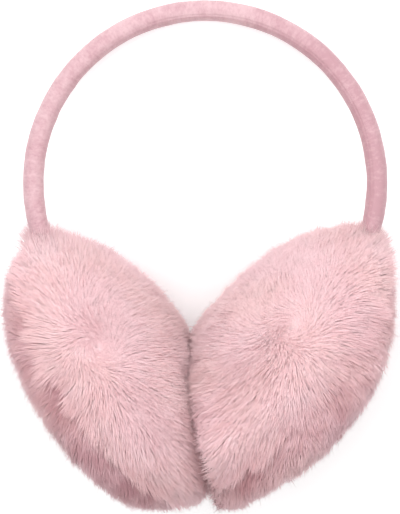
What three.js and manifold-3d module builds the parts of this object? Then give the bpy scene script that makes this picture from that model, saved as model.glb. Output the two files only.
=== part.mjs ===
// Fur earmuffs: a padded velvet headband with a stuffed fur pad on each end, lying on a table.
// Each pad is two fur panels sewn together round its rim: an ear side and an outer side.
// Millimetres, +Z up. The crown of the headband points to +Y, the pads to -Y, and the wearer's
// left and right are not told apart: left_pad is the one towards -X.
// Everything is built in the worn frame first: its origin is the centre of the headband's arch, u runs
// across the head (+X), v up to the crown (+Y) and w out of the front (+Z). The whole is then laid down
// on its back, until the crown and the back of both pads touch the table.
import * as THREE from "three";
import { mergeVertices } from "three/addons/utils/BufferGeometryUtils.js";
import Module from "manifold-3d";

// Headband
const ARCH_RADIUS = 62.5; // inside of the arch
const BAND_THICK = 8; // padded velvet, across the arch
const BAND_WIDE = 13; // front to back
const BAND_END_THICK = 6.4; // where the padding is pinched into a pad
const BAND_PINCH_DEG = 14; // the part of the arch over which it is pinched
const BAND_DROP_DEG = 34; // how far each end runs down past the widest place
const BAND_ROUNDNESS = 2.5; // 2 is an oval section, more is squarer
const LIP_HIGH = 0.7; // the sewn edge of the velvet, standing up
const LIP_WIDE = 1.8;
const LIP_TURN_DEG = 128; // where it runs round the section: 0 is the outside, 90 the front

// Pads, each a thick disc on its long axis, leaning in towards the other
const PAD_DEPTH = 112; // front to back
const PAD_ROUNDNESS = 2.15; // 2 is an ellipsoid, more is squarer
const PAD_TWIST_DEG = 22; // the ear sides open this far to the front
const LEFT_LONG = 124;
const LEFT_THICK = 60;
const LEFT_LEAN_DEG = 33.5;
const LEFT_SEAT = 19; // how far the band end reaches into the fur
const LEFT_OFFSET = 3.5; // and how far it lies to the ear side of the rim seam
const RIGHT_LONG = 131;
const RIGHT_THICK = 63;
const RIGHT_LEAN_DEG = 41;
const RIGHT_SEAT = 22;
const RIGHT_OFFSET = 1.8;
const PADS = [
  {
    name: "left",
    side: -1,
    long: LEFT_LONG,
    thick: LEFT_THICK,
    lean: LEFT_LEAN_DEG,
    seat: LEFT_SEAT,
    offset: LEFT_OFFSET,
  },
  {
    name: "right",
    side: 1,
    long: RIGHT_LONG,
    thick: RIGHT_THICK,
    lean: RIGHT_LEAN_DEG,
    seat: RIGHT_SEAT,
    offset: RIGHT_OFFSET,
  },
];
const SOCKET_CLEARANCE = 0.3; // round a band end, in its pad
const PANEL_GAP = 0.5; // between the two panels of a pad, at the rim seam
const CONTACT_GAP = 0.6; // between the two pads, where they press on each other

// Where the pads meet, seen from the front. down is a share of a pad's length below its centre,
// over a share of its thickness from halfway between the two centres.
const CONTACT = [
  { down: -0.75, over: -0.03 },
  { down: -0.13, over: -0.05 },
  { down: 0.03, over: -0.08 },
  { down: 0.13, over: -0.02 },
  { down: 0.28, over: 0.08 },
  { down: 0.37, over: 0.1 },
  { down: 0.75, over: 0.12 },
];

// Fur
const LOCK_RISE = 4; // the locks stand this far out of the pad's body
const LOCK_ROOT = 4; // how far they are rooted in it
const LOCK_REACH = 19; // and how far they reach along the fur's lay
const LOCK_WIDE = 22; // a lock's width at its root
const LOCK_FLAT = 0.36; // its thickness as a share of its width
const LOCK_SPACING = 18.8; // between neighbouring roots
const LOCK_UNEVEN = 0.25; // some reach this share further than others, or less far
const LOCK_SWAY_DEG = 7; // and lie this far to one side
const LOCK_STOP = 0.75; // none goes further than this share of the way to the rim seam
const RIM_GROOVE = 2.5; // the parting along the rim seam
const RIM_GROOVE_WIDE = 9;

// How far padding gives where the thing rests
const PAD_SINK = 3;
const BAND_SINK = 0.5;

// Facets
const BAND_STEPS = 42;
const BAND_SIDES = 14;
const BODY_SIDES = 20;
const BODY_ROWS = 12;
const LOCK_SIDES = 5;
const LOCK_ROWS = 3;
const CONTACT_STEPS = 14;
const MERGE = 1e-3; // corners closer than this are one
const FAR = 400; // past everything, for the solids that only cut

const wasm = await Module();
wasm.setup();

const radians = THREE.MathUtils.degToRad;
const MID_RADIUS = ARCH_RADIUS + BAND_THICK / 2;

// A closed three.js geometry as a solid that can be joined and cut.
function toSolid(geometry) {
  const bare = geometry.clone();
  bare.deleteAttribute("normal");
  bare.deleteAttribute("uv");
  const merged = mergeVertices(bare, MERGE);
  return new wasm.Manifold(
    new wasm.Mesh({
      numProp: 3,
      vertProperties: merged.attributes.position.array,
      triVerts: new Uint32Array(merged.index.array),
    }),
  );
}

// A solid back as a three.js geometry.
function toGeometry(solid) {
  const mesh = solid.getMesh();
  const geometry = new THREE.BufferGeometry();
  geometry.setAttribute("position", new THREE.BufferAttribute(mesh.vertProperties, 3));
  geometry.setIndex(new THREE.BufferAttribute(mesh.triVerts, 1));
  return geometry;
}

// The largest body of a solid, without the pockets and crumbs that joining and cutting can leave. Made
// afresh from its corners, a solid comes apart where its bodies only share an edge or a corner.
function mainBody(solid) {
  const bodies = toSolid(toGeometry(solid)).decompose();
  return bodies.sort((one, other) => other.volume() - one.volume())[0];
}

// Moves every vertex of a geometry by a function of its place.
function reshape(geometry, move) {
  const place = geometry.attributes.position;
  const point = new THREE.Vector3();
  for (let i = 0; i < place.count; i++) {
    point.fromBufferAttribute(place, i);
    const moved = move(point);
    place.setXYZ(i, moved.x, moved.y, moved.z);
  }
  return geometry;
}

// Headband

// The arch's centreline, from the left end over the crown to the right end.
class Arch extends THREE.Curve {
  constructor(extraDeg) {
    super();
    this.halfSweep = radians(90 + BAND_DROP_DEG + extraDeg);
  }
  getPoint(t, target = new THREE.Vector3()) {
    const fromCrown = this.halfSweep * (2 * t - 1);
    return target.set(MID_RADIUS * Math.sin(fromCrown), MID_RADIUS * Math.cos(fromCrown), 0);
  }
}

// The padded section: an oval, squarer than an ellipse, with the sewn lip on it. spare is added all round.
function bandSection(spare) {
  const points = [];
  for (let i = 0; i < BAND_SIDES; i++) {
    const turn = (i / BAND_SIDES) * 2 * Math.PI;
    const c = Math.cos(turn);
    const s = Math.sin(turn);
    const reach = (Math.abs(c) ** BAND_ROUNDNESS + Math.abs(s) ** BAND_ROUNDNESS) ** (-1 / BAND_ROUNDNESS);
    points.push({
      turn,
      out: (BAND_THICK / 2 + spare) * reach * c,
      front: (BAND_WIDE / 2 + spare) * reach * s,
    });
  }
  const lipTurn = radians(LIP_TURN_DEG);
  const nearest = (i) => Math.abs(points[i].turn - lipTurn);
  const seat = points.reduce((best, point, i) => (nearest(i) < nearest(best) ? i : best), 0);
  const foot = points[seat];
  const size = Math.hypot(foot.out, foot.front);
  const outward = { out: foot.out / size, front: foot.front / size };
  const along = { out: -outward.front, front: outward.out };
  const lip = [-1, -0.6, 0.6, 1].map((share) => {
    const high = Math.abs(share) < 1 ? LIP_HIGH : 0;
    return {
      out: foot.out + (share * LIP_WIDE * along.out) / 2 + high * outward.out,
      front: foot.front + (share * LIP_WIDE * along.front) / 2 + high * outward.front,
    };
  });
  points.splice(seat, 1, ...lip);
  return points;
}

// The headband as a solid, with spare all round and past both ends for cutting its sockets.
function headband(spare) {
  const section = bandSection(spare);
  const extraDeg = THREE.MathUtils.radToDeg(spare / MID_RADIUS);
  const arch = new Arch(extraDeg);
  const shape = new THREE.Shape(section.map((p) => new THREE.Vector2(-p.front, p.out)));
  const tube = new THREE.ExtrudeGeometry(shape, { steps: BAND_STEPS, extrudePath: arch, curveSegments: 1 });
  const pinched = reshape(tube, (p) => {
    const fromCrown = Math.atan2(p.x, p.y);
    const out = Math.hypot(p.x, p.y) - MID_RADIUS;
    const toEnd = THREE.MathUtils.radToDeg(arch.halfSweep - Math.abs(fromCrown));
    const inFur = THREE.MathUtils.radToDeg(Math.min(...PADS.map((pad) => pad.seat)) / MID_RADIUS);
    const full = THREE.MathUtils.smoothstep(toEnd, inFur, inFur + BAND_PINCH_DEG);
    const share = THREE.MathUtils.lerp(BAND_END_THICK / BAND_THICK, 1, full);
    const radius = MID_RADIUS + out * share;
    return new THREE.Vector3(radius * Math.sin(fromCrown), radius * Math.cos(fromCrown), p.z * share);
  });
  return toSolid(pinched);
}

// Pads

// A pad's own axes in the worn frame: along its length, out of the ear side, and round its rim.
function padFrame(pad) {
  const lean = radians(pad.lean);
  const twist = radians(PAD_TWIST_DEG);
  const drop = radians(BAND_DROP_DEG);
  const along = new THREE.Vector3(-pad.side * Math.sin(lean), -Math.cos(lean), 0);
  const inward = new THREE.Vector3(-pad.side * Math.cos(lean), Math.sin(lean), 0);
  const centre = new THREE.Vector3(pad.side * Math.cos(drop), -Math.sin(drop), 0)
    .multiplyScalar(MID_RADIUS)
    .addScaledVector(along, pad.long / 2 - pad.seat)
    .addScaledVector(inward, -pad.offset);
  const ear = inward.clone().multiplyScalar(Math.cos(twist)).add(new THREE.Vector3(0, 0, Math.sin(twist)));
  const round = new THREE.Vector3().crossVectors(along, ear);
  const toWorn = new THREE.Matrix4().makeBasis(along, ear, round).setPosition(centre);
  return { ...pad, centre, ear, toWorn, fromWorn: toWorn.clone().invert() };
}

// Half sizes of a pad, inset by a depth of fur.
function halfSizes(pad, inset) {
  return new THREE.Vector3(pad.long / 2 - inset, pad.thick / 2 - inset, PAD_DEPTH / 2 - inset);
}

// A point of a pad's surface in its own axes, inset by a depth of fur. polar is the angle from the
// ear axis, round the angle about it.
function surfacePoint(pad, polar, round, inset) {
  const half = halfSizes(pad, inset);
  const ball = new THREE.Vector3(
    Math.sin(polar) * Math.cos(round),
    Math.cos(polar),
    Math.sin(polar) * Math.sin(round),
  );
  const sum = ball.toArray().reduce((total, value) => total + Math.abs(value) ** PAD_ROUNDNESS, 0);
  const point = ball.multiply(half).multiplyScalar(sum ** (-1 / PAD_ROUNDNESS));
  const groove = RIM_GROOVE * Math.exp(-((point.y / (RIM_GROOVE_WIDE / 2)) ** 2));
  const towardsRim = new THREE.Vector3(point.x, 0, point.z).normalize();
  return point.addScaledVector(towardsRim, -groove);
}

// One lock of fur: a flat tapering tuft that rises from its root and lies over towards the rim seam,
// following the pad's curve and stopping short of the seam.
function furLock(pad, root) {
  const half = halfSizes(pad, LOCK_RISE);
  const toSeam = Math.PI / 2 - root.polar;
  const reach = (root.reach * LOCK_REACH) / ((half.x + half.z) / 2);
  const swing = Math.sign(toSeam) * Math.min(reach, LOCK_STOP * Math.abs(toSeam));
  const spine = (up) => {
    const inset = (LOCK_RISE + LOCK_ROOT) * (1 - Math.sin((up * Math.PI) / 2));
    return surfacePoint(pad, root.polar + swing * up, root.round + root.sway * up, inset);
  };
  const nearby = 0.02;
  const tuft = new THREE.ConeGeometry(LOCK_WIDE / 2, 1, LOCK_SIDES, LOCK_ROWS);
  const laid = reshape(tuft, (p) => {
    const up = p.y + 0.5;
    const plump = up < 1 ? (1 - up) ** -0.5 : 1; // the sides of the cone bulge to a round tip
    const here = spine(up);
    const lay = spine(up + nearby).sub(spine(up - nearby)).normalize();
    const outward = here.clone().divide(half).divide(half).normalize();
    const across = new THREE.Vector3().crossVectors(lay, outward).normalize();
    const through = new THREE.Vector3().crossVectors(across, lay);
    return here.addScaledVector(across, p.x * plump).addScaledVector(through, p.z * plump * LOCK_FLAT);
  });
  return toSolid(laid);
}

// The surface of an ellipsoid, by Thomsen's formula.
function ellipsoidArea(half) {
  const power = 1.6;
  const pairs = [half.x * half.y, half.x * half.z, half.y * half.z];
  const mean = pairs.reduce((sum, pair) => sum + pair ** power, 0) / pairs.length;
  return 4 * Math.PI * mean ** (1 / power);
}

// Even roots over a pad, one for each lock, in a spiral about the ear axis. No two neighbours lie alike.
function lockRoots(pad) {
  const count = Math.round(ellipsoidArea(halfSizes(pad, LOCK_RISE)) / LOCK_SPACING ** 2);
  const goldenAngle = Math.PI * (3 - Math.sqrt(5));
  return Array.from({ length: count }, (_, i) => ({
    polar: Math.acos(1 - (2 * i + 1) / count),
    round: goldenAngle * i,
    sway: radians(LOCK_SWAY_DEG) * Math.sin(goldenAngle * i),
    reach: 1 + LOCK_UNEVEN * Math.sin(Math.SQRT2 * goldenAngle * i),
  }));
}

// One fur panel of a pad, body and locks in one solid, in the pad's own axes. side is 1 for the ear side.
function furPanel(pad, side) {
  const body = reshape(new THREE.SphereGeometry(1, BODY_SIDES, BODY_ROWS), (p) =>
    surfacePoint(pad, Math.acos(THREE.MathUtils.clamp(p.y, -1, 1)), Math.atan2(p.z, p.x), LOCK_RISE),
  );
  const locks = lockRoots(pad)
    .filter((root) => Math.cos(root.polar) * side > 0)
    .map((root) => furLock(pad, root));
  const whole = wasm.Manifold.union([toSolid(body), ...locks]);
  const block = new THREE.BoxGeometry(FAR, FAR, FAR);
  const otherSide = toSolid(block.translate(0, (side * (PANEL_GAP - FAR)) / 2, 0));
  return mainBody(whole.subtract(otherSide));
}

// The space that one pad leaves to the other, as a thick sheet running front to back.
function contactCutter(frames, pad) {
  const middle = frames[0].centre.clone().add(frames[1].centre).divideScalar(2);
  const long = (PADS[0].long + PADS[1].long) / 2;
  const thick = (PADS[0].thick + PADS[1].thick) / 2;
  const start = new THREE.Vector2(middle.x + (pad.side * CONTACT_GAP) / 2, middle.y);
  const knots = CONTACT.map((row) => new THREE.Vector2(row.over * thick, -row.down * long).add(start));
  const edge = new THREE.SplineCurve(knots).getPoints(CONTACT_STEPS);
  const shape = new THREE.Shape([
    ...edge,
    new THREE.Vector2(-pad.side * FAR, edge.at(-1).y),
    new THREE.Vector2(-pad.side * FAR, edge[0].y),
  ]);
  const sheet = new THREE.ExtrudeGeometry(shape, { depth: FAR, bevelEnabled: false });
  return toSolid(sheet.translate(0, 0, -FAR / 2));
}

// Laying it down

// All corners of a solid, in the worn frame.
function corners(solid) {
  const mesh = solid.getMesh();
  const points = [];
  for (let i = 0; i < mesh.vertProperties.length; i += 3)
    points.push(new THREE.Vector3().fromArray(mesh.vertProperties, i));
  return points;
}

// The lowest height over the points once the thing leans back by tilt.
function lowest(points, tilt) {
  return Math.min(...points.map((p) => p.z * Math.cos(tilt) - p.y * Math.sin(tilt)));
}

// The tilt at which crown and pads both touch the table, and the table's height there.
function restOn(bandPoints, padPoints) {
  let low = 0;
  let high = Math.PI / 4;
  while (high - low > 1e-9) {
    const tilt = (low + high) / 2;
    const bandAbove = lowest(bandPoints, tilt) + BAND_SINK - (lowest(padPoints, tilt) + PAD_SINK);
    if (bandAbove > 0) low = tilt;
    else high = tilt;
  }
  return { tilt: low, height: lowest(padPoints, low) + PAD_SINK };
}

// Everything under the table, in the worn frame.
function underTable(rest) {
  const block = new THREE.BoxGeometry(FAR * 2, FAR * 2, FAR).translate(0, 0, rest.height - FAR / 2);
  return toSolid(block.applyMatrix4(new THREE.Matrix4().makeRotationX(rest.tilt)));
}

// Assembly

const velvet = new THREE.MeshStandardMaterial({ color: 0xe2b3bb, roughness: 0.8, metalness: 0 });
const fur = new THREE.MeshStandardMaterial({ color: 0xe8bfc3, roughness: 0.95, metalness: 0 });
const outerFur = new THREE.MeshStandardMaterial({ color: 0xdcb0b6, roughness: 0.95, metalness: 0 });

const frames = PADS.map(padFrame);
const band = headband(0);
const sockets = headband(SOCKET_CLEARANCE);
const panels = frames.flatMap((pad) =>
  [1, -1].map((side) => ({
    name: `${pad.name}_pad_${side > 0 ? "ear_side" : "outer_side"}`,
    material: side > 0 ? fur : outerFur,
    solid: furPanel(pad, side)
      .transform(pad.toWorn.elements)
      .subtract(contactCutter(frames, pad))
      .subtract(sockets),
  })),
);
const rest = restOn(
  corners(band),
  panels.flatMap((panel) => corners(panel.solid)),
);
const table = underTable(rest);

const worn = new THREE.Group();
worn.rotation.x = -rest.tilt;
const pieces = [{ name: "headband", material: velvet, solid: band }, ...panels];
for (const piece of pieces) {
  const geometry = toGeometry(mainBody(piece.solid.subtract(table))).toNonIndexed();
  geometry.computeVertexNormals();
  const mesh = new THREE.Mesh(geometry, piece.material);
  mesh.name = piece.name;
  worn.add(mesh);
}

// The finished part stands on its origin, under the middle of its box.
const earmuffs = new THREE.Group();
earmuffs.name = "fur_earmuffs";
earmuffs.add(worn);
earmuffs.updateMatrixWorld(true);
const box = new THREE.Box3().setFromObject(earmuffs, true);
worn.position.set(-(box.min.x + box.max.x) / 2, -(box.min.y + box.max.y) / 2, -rest.height);

export default earmuffs;
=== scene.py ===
"""Fur earmuffs: two stuffed fur pads on a padded velvet headband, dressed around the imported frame."""

from __future__ import annotations

import logging
import math
from dataclasses import dataclass, field
from enum import Enum

import bmesh
import bpy
import numpy as np
from mathutils import Matrix, Vector
from mathutils.kdtree import KDTree

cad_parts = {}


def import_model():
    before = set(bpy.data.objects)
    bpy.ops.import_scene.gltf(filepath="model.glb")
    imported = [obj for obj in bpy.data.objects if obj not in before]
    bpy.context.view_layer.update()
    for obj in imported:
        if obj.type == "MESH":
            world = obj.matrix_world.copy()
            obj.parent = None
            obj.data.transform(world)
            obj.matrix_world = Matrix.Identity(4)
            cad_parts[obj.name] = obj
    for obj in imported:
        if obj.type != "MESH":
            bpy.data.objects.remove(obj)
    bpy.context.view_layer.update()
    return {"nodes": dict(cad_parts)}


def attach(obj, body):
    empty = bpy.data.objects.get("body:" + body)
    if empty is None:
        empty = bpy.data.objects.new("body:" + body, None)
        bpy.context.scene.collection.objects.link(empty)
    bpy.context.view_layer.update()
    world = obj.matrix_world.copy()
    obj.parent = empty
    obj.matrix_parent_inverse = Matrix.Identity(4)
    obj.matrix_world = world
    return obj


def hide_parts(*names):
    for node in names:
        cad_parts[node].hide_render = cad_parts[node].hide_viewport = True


LOG = logging.getLogger("earmuffs")
MM = 0.001
STRAND_MAP = "OFBake"
PILE_MAP = "pile"

# On the strands' map, cool strands lie below this height and warm strands above it.
WARM_FROM = 0.5
MAP_MARGIN = 0.02
MAP_BLADE_WIDE = 0.004

# A blade of fur has five points: two at its root, two at its bend and one at its tip.
BLADE_POINTS = 5
BLADE_CORNERS = (0, 1, 3, 2, 2, 3, 4)
BLADE_STARTS = (0, 4)
BLADE_LEVELS = [0, 0, 1, 1, 1]
BLADE_ACROSS = (-1.0, 1.0, -1.0, 1.0, 0.0)
BLADE_ALONG = (0.0, 0.0, 0.45, 0.45, 1.0)

# A backing's face is its flat side at the seam when it faces along the ear axis this squarely.
SEAM_FACE = 0.9

# The backing touches the surface or the other pad within these distances, in millimetres.
PRESSED_BELOW = 0.4
TOUCHING = 1.5

# The arch of the headband, which the pads hang from: its radius in millimetres, and how far it
# runs on below its middle at each side, in degrees.
ARCH_RADIUS = 66.5
ARCH_DROP = 34.0

# The seed of the first coat of fur; each next coat takes the next number.
FIRST_SEED = 100

Colour = tuple[float, float, float, float]
WHITE: Colour = (1.0, 1.0, 1.0, 1.0)
BLACK: Colour = (0.0, 0.0, 0.0, 1.0)


class Side(Enum):
    """The two sides of the head, as they lie in the picture."""

    LEFT = -1
    RIGHT = 1


class Panel(Enum):
    """The two fur panels that a pad is sewn from, by the way they face along the ear axis."""

    EAR_SIDE = 1
    OUTER_SIDE = -1


# Shader building


class Signal:
    """A value in a shader, with arithmetic that adds the Math nodes it needs."""

    def __init__(self, tree: "ShaderTree", socket: bpy.types.NodeSocket) -> None:
        """Wrap a node's output socket."""
        self.tree = tree
        self.socket = socket

    def _math(self, operation: str, first: object, second: object) -> "Signal":
        """Add one Math node.

        Args:
            operation: the Math node's operation.
            first: the first value, a Signal or a number.
            second: the second value, a Signal or a number.

        Returns:
            The node's result.
        """
        return self.tree.node("ShaderNodeMath", {"operation": operation}, {0: first, 1: second})

    def __add__(self, other: object) -> "Signal":
        """Sum."""
        return self._math("ADD", self, other)

    def __sub__(self, other: object) -> "Signal":
        """Difference."""
        return self._math("SUBTRACT", self, other)

    def __mul__(self, other: object) -> "Signal":
        """Product."""
        return self._math("MULTIPLY", self, other)

    def __gt__(self, other: object) -> "Signal":
        """One where this is greater, else zero."""
        return self._math("GREATER_THAN", self, other)

    def fraction(self) -> "Signal":
        """The part after the decimal point."""
        return self._math("FRACT", self, 0.0)

    def magnitude(self) -> "Signal":
        """The value without its sign."""
        return self._math("ABSOLUTE", self, 0.0)


class ShaderTree:
    """The node tree of one procedural material."""

    def __init__(self, name: str) -> None:
        """Start an empty material.

        Args:
            name: the material's name.
        """
        self.material = bpy.data.materials.new(name)
        self.material.use_nodes = True
        self.tree = self.material.node_tree
        self.tree.nodes.clear()

    def node(
        self,
        kind: str,
        settings: dict[str, object] | None = None,
        values: dict[int | str, object] | None = None,
        output: int | str = 0,
    ) -> Signal:
        """Add a node of any kind.

        Args:
            kind: the node's type.
            settings: the node's own settings, set before its sockets. "stops" are a ramp's colours.
            values: numbers, colours or Signals by input socket.
            output: the output socket that is wanted.

        Returns:
            The wanted output.
        """
        made = self.tree.nodes.new(kind)
        for key, value in (settings or {}).items():
            if key == "stops":
                self._fill_ramp(made.color_ramp, value)
            else:
                setattr(made, key, value)
        for key, value in (values or {}).items():
            if isinstance(value, Signal):
                self.tree.links.new(value.socket, made.inputs[key])
            else:
                made.inputs[key].default_value = value
        return Signal(self, made.outputs[output])

    @staticmethod
    def _fill_ramp(ramp: bpy.types.ColorRamp, stops: list[tuple[float, tuple[float, ...]]]) -> None:
        """Give a colour ramp its stops.

        Args:
            ramp: the ramp of a new Color Ramp node.
            stops: places from 0 to 1 with their colours.
        """
        while len(ramp.elements) < len(stops):
            ramp.elements.new(1.0)
        for element, (place, colour) in zip(ramp.elements, stops):
            element.position = place
            element.color = colour

    def ramp(self, value: Signal, stops: list[tuple[float, tuple[float, ...]]]) -> Signal:
        """Colour from a value, through a ramp.

        Args:
            value: the value, from 0 to 1.
            stops: places with their colours.

        Returns:
            The colour.
        """
        return self.node("ShaderNodeValToRGB", {"stops": stops}, {0: value})

    def mix(self, amount: object, first: object, second: object, blend: str = "MIX") -> Signal:
        """Mix two colours.

        Args:
            amount: how much of the second, from 0 to 1.
            first: a colour or Signal.
            second: a colour or Signal.
            blend: the Mix node's blend type.

        Returns:
            The mixed colour.
        """
        settings = {"data_type": "RGBA", "blend_type": blend}
        return self.node("ShaderNodeMix", settings, {0: amount, 6: first, 7: second}, 2)

    def noise(self, place: Signal, scale: float, detail: float = 2.0, rough: float = 0.5) -> Signal:
        """Smooth noise from 0 to 1.

        Args:
            place: the coordinates.
            scale: features per metre.
            detail: octaves.
            rough: the weight of the finer octaves.

        Returns:
            The noise value.
        """
        values = {"Vector": place, "Scale": scale, "Detail": detail, "Roughness": rough}
        return self.node("ShaderNodeTexNoise", None, values)

    def object_place(self) -> Signal:
        """Object coordinates."""
        return self.node("ShaderNodeTexCoord", output="Object")

    def map_place(self, name: str) -> Signal:
        """Coordinates from a piece's own UV map."""
        return self.node("ShaderNodeUVMap", {"uv_map": name})

    def split(self, place: Signal) -> tuple[Signal, Signal]:
        """Take the first two coordinates of a place.

        Args:
            place: the coordinates.

        Returns:
            The first and the second coordinate.
        """
        first = self.node("ShaderNodeSeparateXYZ", None, {0: place}, "X")
        return first, Signal(self, first.socket.node.outputs["Y"])

    def finish(self, values: dict[int | str, object]) -> bpy.types.Material:
        """Close the material with a Principled shader.

        Args:
            values: the Principled shader's inputs.

        Returns:
            The finished material.
        """
        surface = self.node("ShaderNodeBsdfPrincipled", None, values)
        closing = self.tree.nodes.new("ShaderNodeOutputMaterial")
        self.tree.links.new(surface.socket, closing.inputs["Surface"])
        return self.material


@dataclass(frozen=True)
class FurFinish:
    """Long soft fur: each strand has its own tone, a cool or a warm hue, and a root colour."""

    name: str
    root: Colour = (0.96, 0.73, 0.76, 1.0)
    deep: Colour = (0.84, 0.53, 0.56, 1.0)
    light: Colour = (0.91, 0.66, 0.69, 1.0)
    warm_root: Colour = (0.96, 0.73, 0.74, 1.0)
    warm_deep: Colour = (0.84, 0.53, 0.54, 1.0)
    warm_light: Colour = (0.91, 0.66, 0.67, 1.0)
    root_starts: float = 0.05
    root_ends: float = 0.55
    full_root: float = 0.3
    roughness: float = 0.62
    sheen: float = 0.25
    specular: float = 0.25

    def build(self) -> bpy.types.Material:
        """Make the material, from the strands' own map: tone across, root to tip upwards.

        Returns:
            The fur's material.
        """
        tree = ShaderTree(self.name)
        place, height = tree.split(tree.map_place(STRAND_MAP))
        warm = height > WARM_FROM
        along = (height * (1.0 / WARM_FROM)).fraction()
        cool_tone = tree.ramp(place, [(0.0, self.deep), (1.0, self.light)])
        warm_tone = tree.ramp(place, [(0.0, self.warm_deep), (1.0, self.warm_light)])
        tone = tree.mix(warm, cool_tone, warm_tone)
        # The paler root is partly the fur's own paler underfur and partly painted light that lifts the
        # shade deep between the strands.
        cool_root = tree.ramp(place, [(0.0, self.deep), (self.full_root, self.root)])
        warm_root = tree.ramp(place, [(0.0, self.warm_deep), (self.full_root, self.warm_root)])
        root = tree.mix(warm, cool_root, warm_root)
        grown = tree.ramp(along, [(self.root_starts, BLACK), (self.root_ends, WHITE)])
        values = {
            "Base Color": tree.mix(grown, root, tone),
            "Roughness": self.roughness,
            "Sheen Weight": self.sheen,
            "Specular IOR Level": self.specular,
        }
        return tree.finish(values)


@dataclass(frozen=True)
class BackingFinish:
    """The dense underfur against the backing cloth, seen only deep between the strands. Its pale colour
    is partly the underfur's own and partly painted light that lifts the shade there.
    """

    name: str
    deep: Colour = (0.95, 0.68, 0.71, 1.0)
    light: Colour = (0.97, 0.76, 0.79, 1.0)
    patch_scale: float = 220.0
    pile_scale: float = 1800.0
    patch_share: float = 0.7
    pile_share: float = 0.3
    tone_range: tuple[float, float] = (0.3, 0.7)
    roughness: float = 0.9
    bump_strength: float = 0.8
    bump_height: float = 0.0006

    def build(self) -> bpy.types.Material:
        """Make the material from two sizes of noise.

        Returns:
            The underfur's material.
        """
        tree = ShaderTree(self.name)
        place = tree.object_place()
        patches = tree.noise(place, self.patch_scale, detail=4.0, rough=0.6)
        pile = tree.noise(place, self.pile_scale)
        tone = patches * self.patch_share + pile * self.pile_share
        low, high = self.tone_range
        relief = {"Strength": self.bump_strength, "Distance": self.bump_height, "Height": pile}
        values = {
            "Base Color": tree.ramp(tone, [(low, self.deep), (high, self.light)]),
            "Roughness": self.roughness,
            "Normal": tree.node("ShaderNodeBump", None, relief),
        }
        return tree.finish(values)


@dataclass(frozen=True)
class VelvetFinish:
    """Short-pile velvet whose nap lies in patches, with fine lines across the band."""

    name: str
    deep: Colour = (0.53, 0.305, 0.34, 1.0)
    middle: Colour = (0.61, 0.38, 0.415, 1.0)
    light: Colour = (0.69, 0.465, 0.495, 1.0)
    thread: Colour = (0.45, 0.18, 0.24, 1.0)
    patch_scale: float = 55.0
    nap_scale: float = 260.0
    line_scale: float = 900.0
    pile_scale: float = 3200.0
    line_stretch: float = 0.3
    tone_shares: tuple[float, float, float] = (0.3, 0.35, 0.35)
    tone_stops: tuple[float, float, float] = (0.38, 0.5, 0.62)
    # Painted sheen over the top and left of the band, and painted shade on its right side.
    painted_sheen_from: tuple[float, float] = (0.05, 0.09)
    painted_sheen_until: tuple[float, float] = (0.19, 0.23)
    painted_sheen_end: Colour = (0.65, 0.65, 0.65, 1.0)
    painted_sheen_gain: float = 0.16
    painted_shade_loss: float = 0.11
    seam_wide: float = 0.0007
    seam_shown: Colour = (0.2, 0.2, 0.2, 1.0)
    seam_fades: tuple[float, float] = (0.11, 0.15)
    relief_shares: tuple[float, float, float] = (0.4, 0.35, 0.25)
    bump_strength: float = 0.55
    bump_height: float = 0.0008
    roughness: float = 0.75
    sheen: float = 0.35
    sheen_roughness: float = 0.35
    sheen_tint: Colour = (1.0, 0.86, 0.88, 1.0)
    specular: float = 0.2

    def build(self, seam: float) -> bpy.types.Material:
        """Make the material on the band's own map: metres along the arc, metres around the band.

        Args:
            seam: where the sewn seam runs, in metres around the band.

        Returns:
            The velvet material.
        """
        tree = ShaderTree(self.name)
        place = tree.map_place(PILE_MAP)
        solid_place = tree.object_place()
        along, around = tree.split(place)
        stretch = {"Vector": place, "Scale": (1.0, self.line_stretch, 1.0)}
        stretched = tree.node("ShaderNodeMapping", None, stretch)
        patches = tree.noise(solid_place, self.patch_scale, detail=3.0, rough=0.55)
        nap = tree.noise(stretched, self.nap_scale, detail=3.0, rough=0.6)
        lines = tree.noise(stretched, self.line_scale, rough=0.6)
        pile = tree.noise(solid_place, self.pile_scale)
        patch_share, nap_share, line_share = self.tone_shares
        tone = patches * patch_share + nap * nap_share + lines * line_share
        # Painted sheen lightens the top and left of the band, painted shade darkens its right side.
        tone = tone + (self._painted_sheen(tree, along) * self.painted_sheen_gain - self.painted_shade_loss)
        colours = (self.deep, self.middle, self.light)
        colour = tree.ramp(tone, list(zip(self.tone_stops, colours)))
        pile_share, line_share, nap_share = self.relief_shares
        height = pile * pile_share + lines * line_share + nap * nap_share
        relief = {"Strength": self.bump_strength, "Distance": self.bump_height, "Height": height}
        values = {
            "Base Color": tree.mix(self._seam(tree, along, around - seam), colour, self.thread),
            "Roughness": self.roughness,
            "Sheen Weight": self.sheen,
            "Sheen Roughness": self.sheen_roughness,
            "Sheen Tint": self.sheen_tint,
            "Specular IOR Level": self.specular,
            "Normal": tree.node("ShaderNodeBump", None, relief),
        }
        return tree.finish(values)

    def _painted_sheen(self, tree: ShaderTree, along: Signal) -> Signal:
        """Find the painted sheen along the arc: none on the right side, which keeps its painted shade,
        and full over the top and left.

        Args:
            tree: the velvet's tree.
            along: metres along the arc.

        Returns:
            From 0 to 1.
        """
        rise, full = self.painted_sheen_from
        still_full, end = self.painted_sheen_until
        stops = [(rise, BLACK), (full, WHITE), (still_full, WHITE), (end, self.painted_sheen_end)]
        return tree.ramp(along, stops)

    def _seam(self, tree: ShaderTree, along: Signal, off_seam: Signal) -> Signal:
        """Find how much of the seam's thread shows.

        Args:
            tree: the velvet's tree.
            along: metres along the arc.
            off_seam: metres around the band from the seam.

        Returns:
            From 0 to 1, fading where the seam turns out of sight.
        """
        near = off_seam.magnitude() * (1.0 / self.seam_wide)
        shown, hidden = self.seam_fades
        line = tree.ramp(near, [(0.0, self.seam_shown), (1.0, BLACK)])
        return line * tree.ramp(along, [(shown, WHITE), (hidden, BLACK)])


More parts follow.
